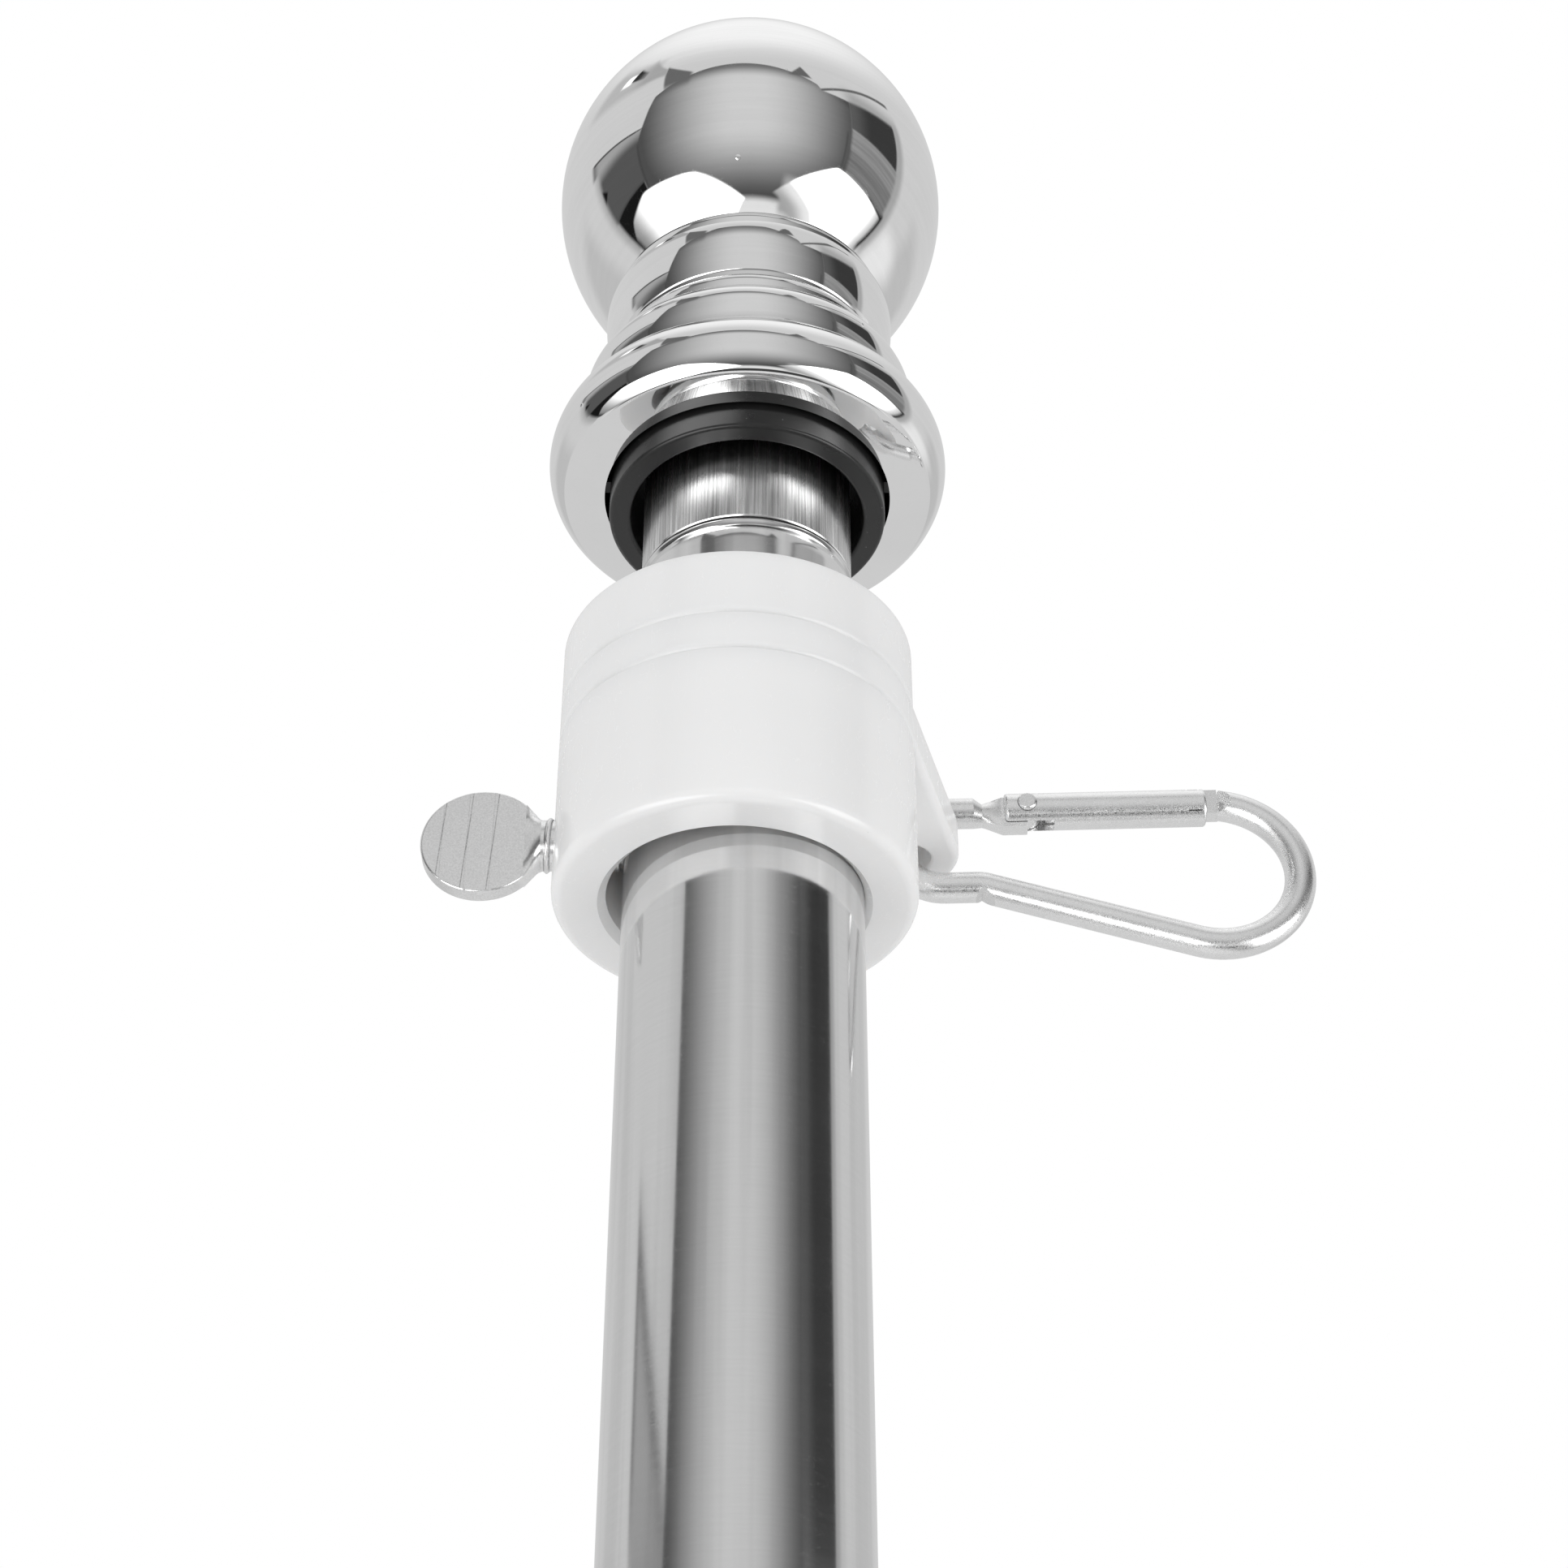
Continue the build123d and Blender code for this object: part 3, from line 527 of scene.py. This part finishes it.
def worn_lines(tree, place):
    """1 on three fine lines that cross both faces of each thumb disc. Heights repeat with the
    spacing of the rings, so the two screws are lined alike."""
    low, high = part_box("upper_thumbscrew")
    x, _, z = split(tree, place)
    height = calc(tree, "FLOORED_MODULO", z, RING_SPACING * MM)
    middle = (low.z + high.z) / 2 % (RING_SPACING * MM)
    leaned = calc(tree, "ADD", x, calc(tree, "MULTIPLY", height, LINE_LEAN))
    across = calc(tree, "SUBTRACT", leaned, low.x + LINES_START + LINE_LEAN * middle)
    wave = calc(tree, "FLOORED_MODULO", across, LINE_STEP)
    off = calc(tree, "ABSOLUTE", calc(tree, "SUBTRACT", wave, LINE_OFFSET))
    line = smooth(tree, off, LINE_HALF_WIDTH, 0.3 * LINE_HALF_WIDTH)
    line = calc(tree, "MULTIPLY", line, smooth(tree, across, LINES_END + 0.1 * MM, LINES_END))
    _, facing, _ = split(tree, node(tree, "TexCoord", {}, output="Normal"))
    on_face = smooth(tree, calc(tree, "ABSOLUTE", facing), 0.9, 0.97)
    return calc(tree, "MULTIPLY", line, on_face)


def plated_screw():
    """Dull nickel with a fine grain; three worn lines cross the thumb disc."""
    material, tree, shader, place = new_material("plated_screw", (0.85, 0.85, 0.85), 1.0, 0.3)
    grain = noise(tree, place, 5200.0, detail=3.0)
    cloud = noise(tree, place, 300.0, detail=3.0)
    marks = noise(tree, stretch(tree, place, 1.0, 1.0, 0.06), 1800.0, detail=2.0)
    worn = smooth(tree, grain, 0.25, 0.6)
    line = calc(tree, "MULTIPLY", worn_lines(tree, place), worn)
    tone = blend(tree, cloud, 0.86, 0.96)
    tone = calc(tree, "MULTIPLY", tone, blend(tree, grain, 0.75, 1.15))
    tone = blend(tree, line, tone, 0.45)
    set_input(tree, shader, "Base Color", gray(tree, tone))
    set_input(tree, shader, "Roughness", blend(tree, cloud, 0.2, 0.32))
    normal = bump(tree, grain, 0.002 * MM)
    normal = bump(tree, marks, 0.003 * MM, normal)
    set_input(tree, shader, "Normal", normal)
    return material


def zinc_steel():
    """Zinc plating: a light satin surface with a fine sparkle."""
    material, tree, shader, place = new_material("zinc_steel", (0.88, 0.88, 0.88), 1.0, 0.3)
    crystals = node(tree, "TexVoronoi", {"Vector": place, "Scale": 8500.0}, output="Color")
    sparkle = node(tree, "SeparateColor", {0: crystals})
    flat = smooth(tree, sparkle.node.outputs[1], 0.8, 0.9)
    grain = noise(tree, place, 4200.0, detail=3.0)
    cloud = noise(tree, place, 260.0, detail=3.0)
    tone = blend(tree, sparkle, 0.88, 0.97)
    tone = calc(tree, "MULTIPLY", tone, blend(tree, cloud, 0.92, 1.03))
    set_input(tree, shader, "Base Color", gray(tree, tone))
    rough = blend(tree, cloud, 0.27, 0.35)
    set_input(tree, shader, "Roughness", blend(tree, flat, rough, 0.18))
    normal = bump(tree, grain, 0.004 * MM)
    normal = bump(tree, sparkle, 0.003 * MM, normal)
    set_input(tree, shader, "Normal", normal)
    return material


MAKERS = {
    "polished_chrome": polished_chrome,
    "stainless_tube": stainless_tube,
    "black_plastic": black_plastic,
    "white_plastic": white_plastic,
    "plated_screw": plated_screw,
    "zinc_steel": zinc_steel,
}


def finish_nodes(looks):
    """Gives each CAD node the material of its slot."""
    slots = {part["node"]: part["material_slot"] for part in frame["record"]["subparts"]}
    for name, cad in frame["nodes"].items():
        cad.data.materials.clear()
        cad.data.materials.append(looks[slots[name]])


# Pieces that the CAD leaves plain.

def mesh_piece(name, shape, material, body):
    """An added piece made from a bmesh, riding a body."""
    mesh = bpy.data.meshes.new(name)
    shape.to_mesh(mesh)
    shape.free()
    mesh.materials.append(material)
    for polygon in mesh.polygons:
        polygon.use_smooth = True
    piece = bpy.data.objects.new(name, mesh)
    scene.collection.objects.link(piece)
    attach(piece, body)
    return piece


def turned_piece(name, outline, steps, material, node_name):
    """A solid of revolution about the pole's axis, standing for a CAD node. The outline is a
    closed loop of radius, height and whether the edge there is sharp."""
    shape = bmesh.new()
    angles = [2 * math.pi * k / steps for k in range(steps)]
    rings = []
    for radius, height, _ in outline:
        points = [(radius * math.cos(turn), radius * math.sin(turn), height) for turn in angles]
        rings.append([shape.verts.new(point) for point in points])
    for first, second in zip(rings, rings[1:] + rings[:1]):
        for k in range(steps):
            after = (k + 1) % steps
            shape.faces.new((first[k], first[after], second[after], second[k]))
    for ring, (_, _, sharp) in zip(rings, outline):
        for k in range(steps):
            edge = shape.edges.get((ring[k], ring[(k + 1) % steps]))
            edge.smooth = not sharp
    bmesh.ops.recalc_face_normals(shape, faces=shape.faces)
    piece = mesh_piece(name, shape, material, "pole")
    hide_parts(node_name)


def bow(crest, end, count):
    """Points of the arc that stands upright at the crest and runs to the end, without the crest."""
    depth, height = crest[0] - end[0], end[1] - crest[1]
    radius = (depth * depth + height * height) / (2 * depth)
    reach = math.asin(height / radius)
    points = []
    for k in range(1, count + 1):
        angle = reach * k / count
        inward, upward = radius * (1 - math.cos(angle)), radius * math.sin(angle)
        points.append((crest[0] - inward, crest[1] + upward))
    return points


# The finial base, in millimetres. Heights are from its foot, and radii from the mouth's or, for
# the bores, from the axis.
BASE_STEPS = 288
BEAD_STEPS = 10
MOUTH_R = 18.3
MOUTH_FLAT = ((4.75, 0.0), (5.05, 0.08))  # the foot's outer edge, where the first bead starts
BALL_HOLE_R = 8.0
SOCKET_R = 14.15
SOCKET_LOW, SOCKET_HIGH = 17.0, 27.0
MOUTH_BEAD = (2.0, 4.88, 5.25, 5.95)  # middle out and up, half width and half height
MOUTH_BEAD_ANGLES = (-52.0, 80.0)
MOUTH_BEAD_STEPS = 48
FINIAL_BEADS = (  # each bead's lower edge, crest and upper edge, out from the mouth and up
    ((2.35, 12.75), (3.2, 16.15), (1.6, 18.95)),
    ((-0.8, 20.65), (-0.3, 22.55), (-1.3, 23.85)),
    ((-0.4, 24.2), (0.8, 30.8), (0.7, 31.95)),
    ((-0.55, 33.05), (-0.3, 34.15), (-0.8, 35.25)),
)


def turned_base(material):
    """Finial base with crisp steps between its beads."""
    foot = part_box("finial_base")[0].z / MM
    out, up, half_width, half_height = MOUTH_BEAD
    first, last = MOUTH_BEAD_ANGLES
    outline = []
    for k in range(MOUTH_BEAD_STEPS + 1):
        angle = math.radians(first + (last - first) * k / MOUTH_BEAD_STEPS)
        r = MOUTH_R + out + half_width * math.cos(angle)
        z = foot + up + half_height * math.sin(angle)
        outline.append((r, z, k == MOUTH_BEAD_STEPS))
    for points in FINIAL_BEADS:
        low, crest, high = [(MOUTH_R + r, foot + z) for r, z in points]
        rising = [low] + bow(crest, low, BEAD_STEPS)[-2::-1] + [crest]
        falling = bow(crest, high, BEAD_STEPS)
        outline += [(r, z, k == 0) for k, (r, z) in enumerate(rising)]
        outline += [(r, z, k == BEAD_STEPS - 1) for k, (r, z) in enumerate(falling)]
    top = foot + FINIAL_BEADS[-1][2][1]
    bores = (
        (BALL_HOLE_R, top), (BALL_HOLE_R, foot + SOCKET_HIGH),
        (SOCKET_R, foot + SOCKET_HIGH), (SOCKET_R, foot + SOCKET_LOW),
        (MOUTH_R, foot + SOCKET_LOW), (MOUTH_R, foot),
    )
    outline += [(r, z, True) for r, z in bores]
    outline += [(MOUTH_R + r, foot + z, False) for r, z in MOUTH_FLAT]
    outline = [(r * MM, z * MM, sharp) for r, z, sharp in outline]
    turned_piece("turned_base", outline, BASE_STEPS, material, "finial_base")


# The tubes, in millimetres.
TUBE_STEPS = 192
COLLAR_STEPS = 8
EDGE_BREAK = 0.3
COLLAR_ROUND = (2.4, 0.15)  # where the collar's rounding starts and ends, below its top
BORE_TAPER = 3.0
TENON_CHAMFER = 0.6
RIDGE = (  # out from the tenon, up from the collar's top, and whether the edge is sharp
    (-0.05, -0.1, True), (0.15, 0.2, False), (0.18, 0.35, False), (0.15, 0.6, False),
    (-0.03, 1.1, True), (-0.13, 1.25, True), (0.0, RIDGE_HEIGHT, True),
)


def turned_sections(material):
    """Tube sections with a rounded collar and a rolled ridge below the tenon."""
    bore_r, tenon_bore_r = TUBE_R - TUBE_WALL, TENON_R - TUBE_WALL
    shoulder = SECTION_STEP
    collar = shoulder + COLLAR_HEIGHT
    end = collar + TENON_HEIGHT
    bore_end = shoulder - TUBE_WALL
    crest = (COLLAR_R, collar - COLLAR_ROUND[0])
    groove = (TENON_R + RIDGE[0][0], collar - COLLAR_ROUND[1])
    outline = [
        (bore_r, 0.0, True), (TUBE_R - EDGE_BREAK, 0.0, True), (TUBE_R, EDGE_BREAK, True),
        (TUBE_R, shoulder - EDGE_BREAK, True), (TUBE_R - EDGE_BREAK, shoulder, True),
        (COLLAR_R, shoulder, True), (*crest, False),
    ]
    outline += [(r, z, False) for r, z in bow(crest, groove, COLLAR_STEPS)]
    outline += [(TENON_R + out, collar + up, sharp) for out, up, sharp in RIDGE]
    outline += [
        (TENON_R, end - TENON_CHAMFER, True), (TENON_R - EDGE_BREAK, end, True),
        (tenon_bore_r, end, True), (tenon_bore_r, bore_end, True),
        (bore_r, bore_end - BORE_TAPER, True),
    ]
    for number in range(1, 5):
        name = f"pole_section_{number}"
        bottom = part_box(name)[0].z
        placed = [(r * MM, bottom + z * MM, sharp) for r, z, sharp in outline]
        turned_piece(
            f"pole_tube_{number}", placed, TUBE_STEPS, material, name)


THREAD_PITCH = 1.0 * MM
THREAD_ROOT = 2.95 * MM
THREAD_CREST = 3.28 * MM
THREAD_STEPS = 48
# The ridge's section: pitches along the screw, and shares of the height from root to crest.
THREAD_SECTION = ((-0.46, 0.0), (-0.08, 1.0), (0.08, 1.0), (0.46, 0.0))
THREAD_RUN_IN = 8  # steps over which the ridge rises at each end
SHANK_FROM_RIM = 14.3 * MM  # the thumb disc's outer rim to its neck


def screw_thread(place, material):
    """Helical ridge on the bare stretch of a thumbscrew's shank."""
    low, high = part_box(f"{place}_thumbscrew")
    ring_low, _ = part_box(f"{place}_ring_body")
    start = low.x + SHANK_FROM_RIM
    count = round((ring_low.x - start) / THREAD_PITCH * THREAD_STEPS)
    middle_z = (low.z + high.z) / 2
    shape = bmesh.new()
    rows = []
    for number in range(count + 1):
        angle = 2 * math.pi * number / THREAD_STEPS
        height = min(1.0, number / THREAD_RUN_IN, (count - number) / THREAD_RUN_IN)
        row = []
        for along, out in THREAD_SECTION:
            radius = THREAD_ROOT + (THREAD_CREST - THREAD_ROOT) * out * height
            x = start + THREAD_PITCH * (number / THREAD_STEPS + along)
            y = radius * math.sin(angle)
            z = middle_z + radius * math.cos(angle)
            row.append(shape.verts.new((x, y, z)))
        rows.append(row)
    for first, second in zip(rows, rows[1:]):
        for k in range(len(THREAD_SECTION)):
            after = (k + 1) % len(THREAD_SECTION)
            shape.faces.new((first[k], first[after], second[after], second[k]))
    for end in (rows[0], rows[-1]):
        shape.faces.new(end)
    bmesh.ops.recalc_face_normals(shape, faces=shape.faces)
    mesh_piece(f"{place}_screw_thread", shape, material, f"{place}_screw")


FLOOR_RADIUS = 0.8
FLOOR_FADE = 0.45
FLOOR_GAP = 0.2 * MM


def make_floor():
    """A pale round floor whose edge fades away."""
    material, tree, shader, place = new_material("floor", (0.9, 0.9, 0.9), 0.0, 0.7)
    x, y, _ = split(tree, place)
    radius = from_axis(tree, x, y)
    mottle = noise(tree, place, 9.0, detail=4.0)
    set_input(tree, shader, "Base Color", gray(tree, blend(tree, mottle, 0.89, 0.93)))
    fade = smooth(tree, radius, FLOOR_RADIUS - FLOOR_FADE, FLOOR_RADIUS)
    clear = node(tree, "BsdfTransparent", {})
    surface = node(tree, "MixShader", {0: fade, 1: shader.outputs[0], 2: clear})
    tree.links.new(surface, tree.nodes["Material Output"].inputs["Surface"])
    shape = bmesh.new()
    bmesh.ops.create_circle(shape, cap_ends=True, segments=96, radius=FLOOR_RADIUS)
    mesh = bpy.data.meshes.new("floor")
    shape.to_mesh(mesh)
    shape.free()
    mesh.materials.append(material)
    floor = bpy.data.objects.new("floor", mesh)
    scene.collection.objects.link(floor)
    floor.location.z = cad_low.z - FLOOR_GAP


make_camera()
make_world()
for depth, power in PANELS:
    for side in (-1, 1):
        add_panel((cad_low + cad_high) / 2, side * PANEL_ASIDE, depth, power)
make_floor()
looks = {slot: maker() for slot, maker in MAKERS.items()}
finish_nodes(looks)
for place in ("upper", "lower"):
    screw_thread(place, looks["plated_screw"])
turned_base(looks["polished_chrome"])
turned_sections(looks["stainless_tube"])

scene.view_settings.view_transform = "Standard"
